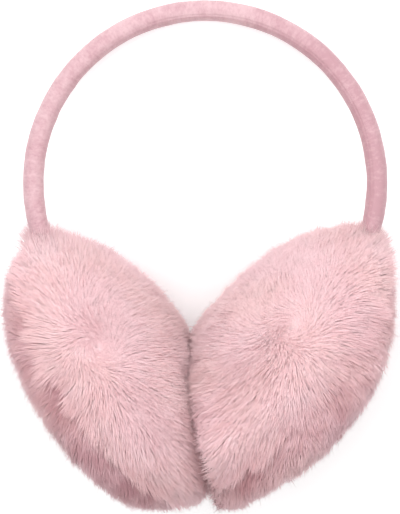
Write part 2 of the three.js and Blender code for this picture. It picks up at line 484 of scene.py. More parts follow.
@dataclass(frozen=True)
class FloorFinish:
    """A plain pale floor, faintly lit from below like a photographer's light table."""

    name: str = "pale_floor"
    colour: Colour = (0.96, 0.96, 0.96, 1.0)
    roughness: float = 0.9
    glow: float = 0.22

    def build(self) -> bpy.types.Material:
        """Make the material.

        Returns:
            The floor's material.
        """
        tree = ShaderTree(self.name)
        values = {
            "Base Color": self.colour,
            "Roughness": self.roughness,
            "Emission Color": self.colour,
            "Emission Strength": self.glow,
        }
        return tree.finish(values)


# Shapes shared by the sub-assemblies


def unit(rows: np.ndarray) -> np.ndarray:
    """Scale each row to length one."""
    return rows / np.maximum(np.linalg.norm(rows, axis=-1, keepdims=True), 1e-9)


def ease(value: np.ndarray, low: float, high: float) -> np.ndarray:
    """Rise smoothly from 0 at low to 1 at high.

    Args:
        value: where the rise is read.
        low: the value at which it starts.
        high: the value at which it is complete.

    Returns:
        Numbers from 0 to 1.
    """
    part = np.clip((value - low) / (high - low), 0.0, 1.0)
    return part * part * (3.0 - 2.0 * part)


class Waver:
    """A smooth seeded field over space that wanders between about -1 and 1."""

    WAVES = 14
    PACES = (0.7, 1.5)

    def __init__(self, rng: np.random.Generator, wavelength: float) -> None:
        """Draw the field's waves.

        Args:
            rng: the seeded generator.
            wavelength: the usual distance between crests, in the points' unit.
        """
        paces = rng.uniform(*self.PACES, (self.WAVES, 1))
        self.ways = unit(rng.normal(size=(self.WAVES, 3))) * paces * 2.0 * math.pi / wavelength
        self.phases = rng.uniform(0.0, 2.0 * math.pi, self.WAVES)

    def at(self, points: np.ndarray) -> np.ndarray:
        """Read the field at rows of points."""
        return np.sin(points @ self.ways.T + self.phases).sum(axis=1) / math.sqrt(self.WAVES / 2.0)


@dataclass(frozen=True)
class WornFrame:
    """The arch's own axes: across the head, up to the crown, and out to the front."""

    centre: np.ndarray
    axes: np.ndarray

    @classmethod
    def from_headband(cls, node: bpy.types.Object) -> "WornFrame":
        """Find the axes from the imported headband, a flat arc of even thickness.

        Args:
            node: the headband's CAD node.

        Returns:
            The frame, with its centre in metres.
        """
        count = len(node.data.vertices)
        places = np.empty(count * 3)
        node.data.vertices.foreach_get("co", places)
        places = np.unique(places.reshape(count, 3).round(7), axis=0)
        middle = places.mean(axis=0)
        flat = np.linalg.svd(places - middle, full_matrices=False)[2][2]
        front = unit(np.array([0.0, flat[1], flat[2]]) * math.copysign(1.0, flat[2]))
        across = np.array([1.0, 0.0, 0.0])
        up = np.cross(front, across)
        axes = np.array([across, up, front])
        local = places @ axes.T
        columns = np.c_[2.0 * local[:, :2], np.ones(len(local))]
        fit = np.linalg.lstsq(columns, (local[:, :2] ** 2).sum(axis=1), rcond=None)[0]
        depth = (local[:, 2].min() + local[:, 2].max()) / 2.0
        return cls(np.array([fit[0], fit[1], depth]) @ axes, axes)

    def to_world(self, points: np.ndarray) -> np.ndarray:
        """Turn points in millimetres of this frame into metres of the row frame."""
        return points @ self.axes * MM + self.centre

    def turned(self, directions: np.ndarray) -> np.ndarray:
        """Turn directions of this frame into the row frame."""
        return directions @ self.axes

    def matrix(self) -> Matrix:
        """The same move as to_world, as a matrix."""
        turn = Matrix(self.axes.T.tolist()).to_4x4()
        return Matrix.Translation(Vector(self.centre)) @ turn @ Matrix.Scale(MM, 4)


def mesh_object(name: str, mesh: bpy.types.Mesh, finish: bpy.types.Material) -> bpy.types.Object:
    """Put a mesh into the scene with its material.

    Args:
        name: the piece's name.
        mesh: the mesh, already in its place.
        finish: the material.

    Returns:
        The new object.
    """
    made = bpy.data.objects.new(name, mesh)
    bpy.context.scene.collection.objects.link(made)
    mesh.materials.append(finish)
    return made


def from_bmesh(name: str, work: bmesh.types.BMesh, finish: bpy.types.Material) -> bpy.types.Object:
    """Turn a finished bmesh into an object with smooth faces.

    Args:
        name: the piece's name.
        work: the bmesh, which is freed.
        finish: the material.

    Returns:
        The new object.
    """
    for face in work.faces:
        face.smooth = True
    mesh = bpy.data.meshes.new(name)
    work.to_mesh(mesh)
    work.free()
    return mesh_object(name, mesh, finish)


def report(piece: bpy.types.Object) -> None:
    """Log a piece's size in triangles."""
    piece.data.calc_loop_triangles()
    LOG.info("%s: %d triangles", piece.name, len(piece.data.loop_triangles))


# The headband


@dataclass
class Headband:
    """The padded velvet band: an arc of even thickness, pinched where it enters the fur."""

    worn: WornFrame
    radius: float = ARCH_RADIUS
    thick: float = 8.0
    wide: float = 13.0
    end_thick: float = 6.4
    pinch_deg: float = 14.0
    drop_deg: float = ARCH_DROP
    roundness: float = 2.2
    seam_deg: float = 128.0
    seam_high: float = 0.2
    seam_deep: float = 0.3
    seam_wide: float = 1.7
    seam_faded: float = 0.85
    seam_fades_deg: tuple[float, float] = (90.0, 130.0)
    crease_wide: float = 0.6
    mean_reach: float = 0.62
    around: int = 72
    steps: int = 300
    wrinkle: float = 0.07
    ripple_long: float = 9.0
    ripple_share: float = 0.7
    pucker_long: float = 3.2
    pucker_share: float = 0.3
    pucker_least: float = 0.35
    pucker_wide: float = 3.0
    clearance: float = 0.4
    most_push: float = 6.0
    seed: int = 11

    @staticmethod
    def turn_at(points: np.ndarray) -> np.ndarray:
        """Angles of rows of points round the arch, in degrees from the right, from -90 to 270."""
        turn = np.degrees(np.arctan2(points[:, 1], points[:, 0]))
        return np.where(turn < -90.0, turn + 360.0, turn)

    def half_thick(self, turn: np.ndarray) -> np.ndarray:
        """Find half the band's thickness, which eases down towards its ends.

        Args:
            turn: angles round the arc, in degrees from the right.

        Returns:
            Half thicknesses in millimetres.
        """
        from_end = np.minimum(turn + self.drop_deg, 180.0 + self.drop_deg - turn)
        full = ease(from_end, 0.0, self.pinch_deg * 2.0)
        return (self.end_thick + (self.thick - self.end_thick) * full) / 2.0

    def section_point(self, angle: float, half: float, swell: float = 0.0) -> tuple[float, float]:
        """A point of the band's section.

        Args:
            angle: the direction from the section's middle, 0 outside and 90 degrees at the front.
            half: half the thickness there.
            swell: how far the point stands proud.

        Returns:
            The distance outwards and the distance to the front.
        """
        out = math.cos(angle)
        front = math.sin(angle)
        reach = (abs(out) ** self.roundness + abs(front) ** self.roundness) ** (-1 / self.roundness)
        scale_out = half * reach + swell
        scale_front = self.wide / 2.0 * reach + swell
        return out * scale_out, front * scale_front

    def build(self, finish: VelvetFinish) -> bpy.types.Object:
        """Spin the section round the arch and give it its seam, creases and map.

        Args:
            finish: the velvet.

        Returns:
            The headband piece.
        """
        work = bmesh.new()
        ring = bmesh.ops.create_circle(work, segments=self.around, radius=1.0)["verts"]
        start = math.radians(-self.drop_deg)
        sweep = math.radians(180.0 + 2.0 * self.drop_deg)
        for vert in ring:
            angle = math.atan2(vert.co.y, vert.co.x)
            out, front = self.section_point(angle, self.thick / 2.0)
            reach = self.radius + out
            vert.co = (reach * math.cos(start), reach * math.sin(start), front)
        bmesh.ops.spin(
            work,
            geom=list(work.edges) + list(work.verts),
            cent=(0.0, 0.0, 0.0),
            axis=(0.0, 0.0, 1.0),
            dvec=(0.0, 0.0, 0.0),
            angle=sweep,
            steps=self.steps,
            use_duplicate=False,
        )
        self._shape(work)
        self._map(work)
        rims = [edge for edge in work.edges if edge.is_boundary]
        bmesh.ops.holes_fill(work, edges=rims, sides=0)
        bmesh.ops.recalc_face_normals(work, faces=work.faces)
        bmesh.ops.transform(work, matrix=self.worn.matrix(), verts=work.verts)
        for vert in work.verts:
            vert.co.z = max(vert.co.z, 0.0)
        seam = math.radians(self.seam_deg) * self.thick * MM
        return from_bmesh("headband_velvet", work, finish.build(seam))

    def _shape(self, work: bmesh.types.BMesh) -> None:
        """Pinch the ends, raise the seam's lips, sink its crease and pucker the cloth beside it.

        Args:
            work: the plain band, in millimetres of the worn frame.
        """
        rng = np.random.default_rng(self.seed)
        ripple = Waver(rng, self.ripple_long)
        pucker = Waver(rng, self.pucker_long)
        places = np.array([vert.co for vert in work.verts])
        turn = self.turn_at(places)
        out = np.hypot(places[:, 0], places[:, 1]) - self.radius
        angle = np.degrees(np.arctan2(places[:, 2] / (self.wide / 2.0), out / (self.thick / 2.0)))
        off_seam = (angle - self.seam_deg + 180.0) % 360.0 - 180.0
        away = np.radians(off_seam) * self.thick * self.mean_reach
        lips = self.seam_high * np.exp(-((away / (self.seam_wide / 2.0)) ** 2))
        deep = self.seam_high + self.seam_deep
        crease = deep * np.exp(-((away / (self.crease_wide / 2.0)) ** 2))
        shown = 1.0 - self.seam_faded * ease(turn, *self.seam_fades_deg)
        beside_seam = np.exp(-np.abs(away) / self.pucker_wide)
        puckers = self.pucker_least + (1.0 - self.pucker_least) * beside_seam
        uneven = ripple.at(places) * self.ripple_share
        uneven = self.wrinkle * (uneven + pucker.at(places) * self.pucker_share * puckers)
        swell = (lips - crease) * shown + uneven
        half = self.half_thick(turn)
        for vert, degrees, around, thin, proud in zip(work.verts, turn, angle, half, swell):
            side = math.sin(math.radians(around)) * self.wide
            outside = math.cos(math.radians(around)) * self.thick
            shaped = self.section_point(math.atan2(side, outside), thin, proud)
            reach = self.radius + shaped[0]
            way = math.radians(degrees)
            vert.co = (reach * math.cos(way), reach * math.sin(way), shaped[1])

    def _map(self, work: bmesh.types.BMesh) -> None:
        """Lay the pile's map: metres along the arc, and metres around the band from its outside.

        Args:
            work: the shaped band, in millimetres of the worn frame.
        """
        layer = work.loops.layers.uv.new(PILE_MAP)
        for face in work.faces:
            middle = face.calc_center_median()
            out = math.hypot(middle.x, middle.y) - self.radius
            face_angle = math.atan2(middle.z / self.wide, out / self.thick)
            for loop in face.loops:
                place = loop.vert.co
                turn = math.degrees(math.atan2(place.y, place.x))
                turn += 360.0 if turn < -90.0 else 0.0
                out = math.hypot(place.x, place.y) - self.radius
                angle = math.atan2(place.z / self.wide, out / self.thick)
                angle += round((face_angle - angle) / (2.0 * math.pi)) * 2.0 * math.pi
                along = math.radians(turn) * self.radius * MM
                loop[layer].uv = (along, angle * self.thick * MM)

    def clear(self, points: np.ndarray) -> np.ndarray:
        """Move points that lie inside the band out to its surface.

        Args:
            points: rows in millimetres of the worn frame.

        Returns:
            The same rows, moved where they have to be.
        """
        turn = self.turn_at(points)
        reach = np.hypot(points[:, 0], points[:, 1])
        out = reach - self.radius
        half = self.half_thick(turn) + self.clearance
        to_front = np.abs(points[:, 2] / (self.wide / 2.0 + self.clearance))
        size = np.abs(out / half) ** self.roundness + to_front**self.roundness
        size = np.maximum(size, 1e-6) ** (1.0 / self.roundness)
        within = (size < 1.0) & (turn > -self.drop_deg) & (turn < 180.0 + self.drop_deg)
        grow = np.minimum(np.where(within, 1.0 / size, 1.0), self.most_push)
        way = points[:, :2] / np.maximum(reach, 1e-6)[:, None]
        moved = points.copy()
        moved[:, :2] = way * (self.radius + out * grow)[:, None]
        moved[:, 2] = points[:, 2] * grow
        return np.where(within[:, None], moved, points)


# The pads


@dataclass
class Contact:
    """The sheet where the two pads press together, a curve across the picture.

    Each row is a point of it: how far down from the middle, as a share of the pads' length, and how
    far across, as a share of their thickness.
    """

    middle: np.ndarray
    mean_long: float
    mean_thick: float
    rows: tuple[tuple[float, float], ...] = (
        (-0.75, -0.03),
        (-0.13, -0.05),
        (0.03, -0.08),
        (0.13, -0.02),
        (0.28, 0.08),
        (0.37, 0.1),
        (0.75, 0.12),
    )
    samples: int = 12
    edge_round: float = 2.0
    lip_high: float = 0.19
    lip_wide: float = 11.0
    sag: float = 4.0
    sag_from: tuple[float, float] = (0.22, 0.42)
    meander: float = 1.3
    meander_long: float = 16.0
    seed: int = 5
    waver: Waver = field(init=False)

    def __post_init__(self) -> None:
        """Draw the way that the sheet meanders."""
        self.waver = Waver(np.random.default_rng(self.seed), self.meander_long)

    def line(self) -> np.ndarray:
        """Points of the smooth curve through the rows, from the top down.

        Returns:
            Rows of distance across and height, in millimetres of the worn frame.
        """
        knots = np.array([
            (self.middle[0] + over * self.mean_thick, self.middle[1] - down * self.mean_long)
            for down, over in self.rows
        ])
        padded = np.vstack([knots[:1], knots, knots[-1:]])
        drawn = []
        for before, start, end, after in zip(padded, padded[1:], padded[2:], padded[3:]):
            for step in np.linspace(0.0, 1.0, self.samples, endpoint=False):
                lead = (end - before) * 0.5
                tail = (after - start) * 0.5
                bend = (2.0 * start - 2.0 * end + lead + tail) * step**3
                drawn.append(bend + (-3.0 * start + 3.0 * end - 2.0 * lead - tail) * step**2
                             + lead * step + start)
        return np.array(drawn + [knots[-1]])

    def across_at(self, heights: np.ndarray) -> np.ndarray:
        """Where the sheet stands, across the picture, at the given heights."""
        line = self.line()[::-1]
        return np.interp(heights, line[:, 1], line[:, 0])

    def press(self, points: np.ndarray, side: Side, gap: float) -> np.ndarray:
        """Press a pad's backing softly against the sheet, with a rounded edge.

        Args:
            points: rows in millimetres of the worn frame.
            side: the side that they belong to.
            gap: the distance that they keep from the sheet.

        Returns:
            The rows, all on their own side of the sheet.
        """
        pressed = points.copy()
        limit = self.across_at(points[:, 1]) + side.value * gap
        clear = (points[:, 0] - limit) * side.value
        clear = (clear + np.sqrt(clear**2 + self.edge_round**2)) / 2.0
        pressed[:, 0] = limit + clear * side.value
        squeezed = np.exp(-((clear / self.lip_wide) ** 2))
        pressed[:, 2] *= 1.0 + self.lip_high * squeezed
        low = ease((self.middle[1] - points[:, 1]) / self.mean_long, *self.sag_from)
        pressed[:, 1] -= self.sag * low * squeezed
        return pressed

    def hold(self, points: np.ndarray, side: Side, gap: np.ndarray | float) -> np.ndarray:
        """Keep points on their own side of the sheet.

        Args:
            points: rows in millimetres of the worn frame.
            side: the side that they belong to.
            gap: the distance that they keep from the sheet.

        Returns:
            The rows, moved back where they had crossed.
        """
        held = points.copy()
        limit = self.across_at(points[:, 1]) + side.value * gap
        limit = limit + self.meander * self.waver.at(points)
        keep = np.maximum if side is Side.RIGHT else np.minimum
        held[:, 0] = keep(points[:, 0], limit)
        return held


@dataclass(frozen=True)
class FurCut:
    """How the fur is cut, combed and locked together, in millimetres, degrees and shares."""

    # How many strands, and the share that grows where the backing touches something.
    strands: int = 66000
    clamped_share: float = 0.25
    # Each strand's length and width, and how much it leans to its own side.
    length: float = 6.8
    length_spread: float = 0.10
    length_limits: tuple[float, float] = (3.0, 15.0)
    length_wander: float = 0.04
    length_waves: float = 22.0
    root_wide: float = 0.26
    middle_wide: float = 0.24
    width_spread: tuple[float, float] = (0.6, 1.3)
    roll: float = 0.15
    own_shade: float = 0.1
    # How steeply the lower and the upper part of a strand rise, and how much that varies.
    root_share: float = 0.45
    rise_deg: tuple[float, float] = (46.0, 15.0)
    rise_spread_deg: float = 7.0
    least_rise_deg: float = 4.0
    fuzz: float = 0.05
    fuzz_deg: float = 12.0
    fuzz_length: float = 1.1
    tuft_waves: float = 9.0
    tuft_deg: float = 2.5
    far_tuft_deg: float = 5.0
    far_from: tuple[float, float] = (10.0, 22.0)
    # The whorl in the middle of the ear side: dense, low and short, and curled inwards.
    whorl_deg: float = 115.0
    whorl_wide: float = 17.0
    whorl_dense: float = 12.0
    whorl_core: float = 4.5
    whorl_rest: float = 6.0
    whorl_flat_deg: float = 14.0
    whorl_short: float = 0.4
    # The rim seam: the ear side hangs over it, and the outer side lies low beside it.
    seam_near: tuple[float, float] = (1.0, 10.0)
    seam_rise_deg: float = 6.0
    seam_sink_deg: float = -18.0
    overhang: float = 0.3
    overhang_wander: float = 0.25
    overhang_waves: float = 12.0
    outer_trim: float = -0.18
    # Where the band goes in, by distance from the pad's end.
    entry_near: tuple[float, float] = (8.0, 24.0)
    entry_fluff: float = 0.5
    entry_deg: float = 16.0
    # The far outer side, where the nap runs down the pad.
    behind_from: tuple[float, float] = (0.15, 0.95)
    behind_down: float = 0.75
    behind_unruly: float = 0.22
    # Where the pads meet, the strands turn to the front; and the height above the surface.
    meeting: tuple[float, float] = (1.0, 9.0)
    meeting_forward: float = 0.5
    turn_forward: float = 0.5
    meeting_reach: tuple[float, float] = (-6.0, 0.5)
    above_surface: tuple[float, float] = (0.15, 0.9)
    # How the strands draw together into locks, and stray from the nap.
    lock_every: int = 12
    lock_pull: tuple[float, float] = (0.0, 0.12)
    lock_growth: float = 1.3
    tuft_pull: float = 0.3
    tuft_near: tuple[float, float] = (2.0, 9.0)
    stray: float = 0.14
    wander: float = 0.18
    wander_waves: float = 34.0
    lock_wander: float = 0.048
    lock_waves: float = 7.5


@dataclass(frozen=True)
class FurTone:
    """How the strands' tones run over a pad, from 0 for the deepest to 1 for the lightest."""

    middle: float = 0.55
    patchy: float = 0.08
    patch_waves: tuple[float, float] = (30.0, 8.0)
    spread: float = 0.045
    limits: tuple[float, float] = (0.02, 0.98)
    # Painted shade along the outer side's parting, under the ear-side fur that hangs over it.
    parting_near: tuple[float, float] = (2.0, 13.0)
    parting_along: tuple[float, float] = (-0.2, 0.1)
    parting_wander: float = 0.15
    parting_waves: float = 14.0
    # Painted light over the far outer side, away from the seam.
    far_from: tuple[float, float] = (14.0, 27.0)
    far_painted_light: float = 0.32
    # Painted shade along the ear side's rim seam.
    rim_painted_shade: float = 0.25
    rim_near: tuple[float, float] = (1.0, 9.0)
    # The size and place of the painted shadow spots under the rim.
    spot_long: float = 6.0
    spot_wide: float = 5.0
    spot_outwards: float = 2.0
    warmth: float = 0.45
    warmth_wander: float = 0.3
    warmth_waves: float = 38.0


@dataclass
class Pad:
    """One stuffed fur pad, sewn from an ear-side and an outer panel over a rim seam."""

    name: str
    side: Side
    long: float
    thick: float
    lean: float
    seat: float
    offset: float
    # How much fuller the outer side is, and slimmer and shorter towards the band.
    outer_swell: float
    outer_trim: float
    corner_trim: float
    # Painted shading of the outer side, painted shade along its parting, and painted shadow spots under
    # the rim: place and strength.
    outer_painted_shading: float
    parting_painted_shade: float
    painted_shadow_spots: tuple[tuple[float, float], ...]
    whorl: tuple[float, float, float]
    band_radius: float = ARCH_RADIUS
    drop: float = ARCH_DROP
    twist: float = 22.0
    depth: float = 112.0
    roundness: float = 2.15
    end_from: tuple[float, float] = (0.1, 0.9)
    corner_from: tuple[float, float] = (-0.5, 0.2)
    groove: float = 4.6
    groove_wide: float = 20.0
    groove_along: tuple[float, float] = (-0.95, -0.5)
    panel_gap: float = 0.5
    fur_rise: float = 5.8
    skin_gap: float = 0.7
    skin_detail: int = 6

    def axes(self) -> np.ndarray:
        """Find the pad's own axes.

        Returns:
            Rows of the worn frame: along the pad, towards the ear, and to the front.
        """
        lean = math.radians(self.lean)
        twist = math.radians(self.twist)
        side = self.side.value
        along = np.array([-side * math.sin(lean), -math.cos(lean), 0.0])
        inward = np.array([-side * math.cos(lean), math.sin(lean), 0.0])
        front = np.array([0.0, 0.0, 1.0])
        ear = inward * math.cos(twist) + front * math.sin(twist)
        face = front * math.cos(twist) - inward * math.sin(twist)
        return np.array([along, ear, face])

    def centre(self) -> np.ndarray:
        """Find the pad's middle, from where the band's end sits in it.

        Returns:
            A point of the worn frame, in millimetres.
        """
        drop = math.radians(self.drop)
        lean = math.radians(self.lean)
        side = self.side.value
        band_end = np.array([side * math.cos(drop), -math.sin(drop), 0.0]) * self.band_radius
        along = self.axes()[0]
        inward = np.array([-side * math.cos(lean), math.sin(lean), 0.0])
        return band_end + along * (self.long / 2.0 - self.seat) - inward * self.offset

    def half_sizes(self, inset: float) -> np.ndarray:
        """Half sizes along, through and to the front, less an inset."""
        return np.array([self.long, self.thick, self.depth]) / 2.0 - inset

    def surface(self, ball: np.ndarray, inset: float) -> np.ndarray:
        """Shape rows of a unit ball into the pad, with the groove along its rim seam.

        Args:
            ball: unit rows along the pad's axes.
            inset: how far under the fur's outside the surface lies.

        Returns:
            Rows in the pad's own axes, in millimetres.
        """
        size = (np.abs(ball) ** self.roundness).sum(axis=1, keepdims=True)
        swell = size ** (-1.0 / self.roundness)
        half = self.half_sizes(inset)
        points = ball * half * swell
        near_end = ease(-points[:, 0] / half[0], *self.end_from)
        fuller = 1.0 + self.outer_swell - self.outer_trim * near_end
        outer = ease(-points[:, 1] / half[1], *self.corner_from)
        points[:, 1] *= np.where(points[:, 1] < 0.0, fuller, 1.0)
        points[:, 0] *= 1.0 - self.corner_trim * near_end * outer
        dip = self.groove * np.exp(-((points[:, 1] / (self.groove_wide / 2.0)) ** 2))
        dip = dip * ease(points[:, 0] / half[0], *self.groove_along)
        reach = np.hypot(points[:, 0], points[:, 2])
        pull = 1.0 - dip / np.maximum(reach, self.groove * 2.0)
        points[:, 0] *= pull
        points[:, 2] *= pull
        return points

    def piece_name(self, panel: Panel, what: str) -> str:
        """A piece's name from its pad, panel and what it is."""
        return f"{self.name}_pad_{panel.name.lower()}_{what}"

    def node_name(self, panel: Panel) -> str:
        """The CAD node that a panel stands for."""
        return f"{self.name}_pad_{panel.name.lower()}"

    def skin(
        self, panel: Panel, worn: WornFrame, contact: Contact, finish: bpy.types.Material
    ) -> bpy.types.Object:
        """Make a panel's backing: half of the pad, closed at the seam, pressed where it touches.

        Args:
            panel: which half.
            worn: the worn frame.
            contact: the sheet between the pads.
            finish: the underfur.

        Returns:
            The backing piece.
        """
        work = bmesh.new()
        bmesh.ops.create_icosphere(work, subdivisions=self.skin_detail, radius=1.0)
        ball = unit(np.array([vert.co for vert in work.verts]))
        for vert, place in zip(work.verts, self.surface(ball, self.fur_rise)):
            vert.co = place
        bmesh.ops.bisect_plane(
            work,
            geom=list(work.verts) + list(work.edges) + list(work.faces),
            plane_co=(0.0, panel.value * self.panel_gap / 2.0, 0.0),
            plane_no=(0.0, panel.value, 0.0),
            clear_inner=True,
        )
        rims = [edge for edge in work.edges if edge.is_boundary]
        bmesh.ops.holes_fill(work, edges=rims, sides=0)
        bmesh.ops.triangulate(work, faces=[face for face in work.faces if len(face.verts) > 4])
        local = np.array([vert.co for vert in work.verts])
        held = contact.press(self.centre() + local @ self.axes(), self.side, self.skin_gap)
        places = worn.to_world(held)
        places[:, 2] = np.maximum(places[:, 2], 0.0)
        for vert, place in zip(work.verts, places):
            vert.co = place
        if work.calc_volume(signed=True) < 0.0:
            bmesh.ops.reverse_faces(work, faces=work.faces)
        return from_bmesh(self.piece_name(panel, "backing"), work, finish)


@dataclass
class FurCoat:
    """The strands that grow from one panel's backing."""

    pad: Pad
    panel: Panel
    cut: FurCut
    tones: FurTone
    worn: WornFrame
    contact: Contact
    band: Headband
    seed: int

    def build(self, backing: bpy.types.Object, finish: bpy.types.Material) -> bpy.types.Object:
        """Grow, comb, lock and clear the strands, and join them as one mesh.

        Args:
            backing: the panel's backing piece.
            finish: the fur's material.

        Returns:
            The fur piece.
        """
        rng = np.random.default_rng(self.seed)
        roots, normals = self._roots(backing, rng)
        local = (roots - self.pad.centre()) @ self.pad.axes().T
        lay = self._lay(roots, normals, local, rng)
        lines = self._comb(roots, normals, lay, local, rng)
        tufted = np.zeros(len(roots))
        if self.panel is Panel.EAR_SIDE:
            tufted = 1.0 - ease(np.abs(local[:, 1]), *self.cut.tuft_near)
        lines = self._lock(lines, tufted, rng)
        lines = self._clear(lines, rng)
        return self._ribbons(lines, normals, roots, finish, rng)

    def _roots(
        self, backing: bpy.types.Object, rng: np.random.Generator
    ) -> tuple[np.ndarray, np.ndarray]:
        """Scatter the roots evenly over the backing's outside.

        Args:
            backing: the panel's backing piece.
            rng: the seeded generator.

        Returns:
            Roots in millimetres of the worn frame, and the directions out of the backing.
        """
        mesh = backing.data
        mesh.calc_loop_triangles()
        count = len(mesh.vertices)
        places = np.empty(count * 3)
        mesh.vertices.foreach_get("co", places)
        outward = np.empty(count * 3)
        mesh.vertex_normals.foreach_get("vector", outward)
        corners = np.empty(len(mesh.loop_triangles) * 3, dtype=np.int64)
        mesh.loop_triangles.foreach_get("vertices", corners)
        axes = self.worn.axes
        places = (places.reshape(-1, 3) - self.worn.centre) @ axes.T / MM
        outward = outward.reshape(-1, 3) @ axes.T
        corners = corners.reshape(-1, 3)
        first, second, third = (places[corners[:, i]] for i in range(3))
        cross = np.cross(second - first, third - first)
        area = np.linalg.norm(cross, axis=1) / 2.0
        facing = unit(cross)
        middle = (first + second + third) / 3.0
        local = (middle - self.pad.centre()) @ self.pad.axes().T
        flat_at_seam = np.abs(facing @ self.pad.axes()[1]) > SEAM_FACE
        seam_face = (np.abs(local[:, 1]) < self.pad.panel_gap) & flat_at_seam
        pressed = self.worn.to_world(middle)[:, 2] < PRESSED_BELOW * MM
        sheet = np.abs(middle[:, 0] - self.contact.across_at(middle[:, 1]))
        clamped = pressed | (sheet < self.pad.skin_gap + TOUCHING)
        weight = area * np.where(seam_face, 0.0, 1.0)
        weight = weight * np.where(clamped, self.cut.clamped_share, 1.0)
        core = np.exp(-((self._whorl_distance(local) / self.cut.whorl_core) ** 2))
        weight = weight * (1.0 + self.cut.whorl_dense * core)
        chosen = rng.choice(len(corners), self.cut.strands, p=weight / weight.sum())
        parts = rng.dirichlet((1.0, 1.0, 1.0), self.cut.strands)
        picked = corners[chosen]
        roots = np.einsum("ij,ijk->ik", parts, places[picked])
        normals = unit(np.einsum("ij,ijk->ik", parts, outward[picked]))
        return roots, normals

    def _whorl_distance(self, local: np.ndarray) -> np.ndarray:
        """How far points in the pad's own axes are from the whorl of the fur, in millimetres."""
        middle = self.pad.surface(unit(np.array([self.pad.whorl])), self.pad.fur_rise)
        return np.linalg.norm(local - middle, axis=1)

    def _lay(
        self, roots: np.ndarray, normals: np.ndarray, local: np.ndarray, rng: np.random.Generator
    ) -> np.ndarray:
        """Find the way that the nap lies at each root.

        Args:
            roots: roots in the worn frame.
            normals: directions out of the backing.
            local: the roots in the pad's own axes.
            rng: the seeded generator.

        Returns:
            Unit rows along the backing.
        """
        cut = self.cut
        half = self.pad.half_sizes(self.pad.fur_rise)
        ball = unit(local / half)
        whorl = unit(np.array(self.pad.whorl))
        away = (ball * (ball @ whorl)[:, None] - whorl) * half
        lay = unit(away @ self.pad.axes())
        curl = 1.0 - ease(self._whorl_distance(local), 1.0, cut.whorl_wide)
        curl = np.radians(cut.whorl_deg) * curl[:, None]
        lay = unit(lay * np.cos(curl) + np.cross(normals, lay) * np.sin(curl))
        down = np.array([0.0, -1.0, 0.0])
        behind = ease(-ball[:, 1], *cut.behind_from)[:, None]
        lay = lay * (1.0 - cut.behind_down * behind) + down * cut.behind_down * behind
        broad = np.stack([Waver(rng, cut.wander_waves).at(roots) for _ in range(3)], axis=1)
        locks = np.stack([Waver(rng, cut.lock_waves).at(roots) for _ in range(3)], axis=1)
        stray = rng.normal(size=roots.shape) * cut.stray
        sheet = np.abs(roots[:, 0] - self.contact.across_at(roots[:, 1]))
        meets = (1.0 - ease(sheet, *cut.meeting))[:, None] * cut.meeting_forward
        lay = lay * (1.0 - meets) + np.array([0.0, 0.0, 1.0]) * meets
        unruly = cut.lock_wander + cut.behind_unruly * behind
        lay = lay + broad * cut.wander + locks * unruly + stray
        lay = lay - normals * (lay * normals).sum(axis=1, keepdims=True)
        return unit(lay)

    def _comb(
        self,
        roots: np.ndarray,
        normals: np.ndarray,
        lay: np.ndarray,
        local: np.ndarray,
        rng: np.random.Generator,
    ) -> np.ndarray:
        """Bend each strand from its root over to the lay of the nap.

        Args:
            roots: roots in the worn frame.
            normals: directions out of the backing.
            lay: the way of the nap at each root.
            local: the roots in the pad's own axes.
            rng: the seeded generator.

        Returns:
            Three points a strand, in millimetres of the worn frame.
        """
        cut = self.cut
        count = len(roots)
        near_seam = 1.0 - ease(np.abs(local[:, 1]), *cut.seam_near)
        ear_side = self.panel is Panel.EAR_SIDE
        half = self.pad.half_sizes(0.0)[0]
        from_band = np.linalg.norm(local + [half, 0.0, 0.0], axis=1)
        near_band = 1.0 - ease(from_band, *cut.entry_near)
        core = np.exp(-((self._whorl_distance(local) / cut.whorl_rest) ** 2))
        lift = near_seam * (cut.seam_rise_deg if ear_side else cut.seam_sink_deg)
        lift = lift + near_band * cut.entry_deg - core * cut.whorl_flat_deg
        tufts = Waver(rng, cut.tuft_waves).at(roots)
        long = cut.length * (1.0 + rng.normal(scale=cut.length_spread, size=count))
        uneven = Waver(rng, cut.length_waves).at(roots) + tufts
        long = long * (1.0 + cut.length_wander * uneven)
        overhang = cut.overhang + cut.overhang_wander * Waver(rng, cut.overhang_waves).at(roots)
        long = long * (1.0 + near_seam * (overhang if ear_side else cut.outer_trim))
        long = long * (1.0 + near_band * cut.entry_fluff)
        long = np.clip(long * (1.0 - cut.whorl_short * core), *cut.length_limits)
        tufty = cut.tuft_deg + cut.far_tuft_deg * ease(-local[:, 1], *cut.far_from)
        spread = rng.normal(scale=cut.rise_spread_deg, size=count) + tufts * tufty + lift
        fuzzy = rng.uniform(size=count) < cut.fuzz
        spread = np.where(fuzzy, spread + cut.fuzz_deg, spread)
        long = np.where(fuzzy, long * cut.fuzz_length, long)
        points = [roots]
        for rise, share in zip(cut.rise_deg, (cut.root_share, 1.0 - cut.root_share)):
            angle = np.radians(np.clip(rise + spread, cut.least_rise_deg, 90.0))[:, None]
            step = (long * share)[:, None]
            points.append(points[-1] + (lay * np.cos(angle) + normals * np.sin(angle)) * step)
        return np.stack(points, axis=1)

    def _lock(
        self, lines: np.ndarray, tufted: np.ndarray, rng: np.random.Generator
    ) -> np.ndarray:
        """Draw the strands together into pointed locks.

        Args:
            lines: three points a strand.
            tufted: from 0 to 1, where the locks are drawn tighter.
            rng: the seeded generator.

        Returns:
            The lines, drawn to their locks towards the tips.
        """
        guides = len(lines) // self.cut.lock_every
        tree = KDTree(guides)
        for index in range(guides):
            tree.insert(Vector(lines[index, 0]), index)
        tree.balance()
        nearest = np.array([tree.find(Vector(root))[1] for root in lines[:, 0]])
        pull = rng.uniform(*self.cut.lock_pull, guides)[nearest] + tufted * self.cut.tuft_pull
        pull = pull[:, None, None]
        growth = np.array([0.0, self.cut.root_share, 1.0]) ** self.cut.lock_growth
        growth = growth[None, :, None]
        return lines + (lines[nearest] - lines) * pull * growth

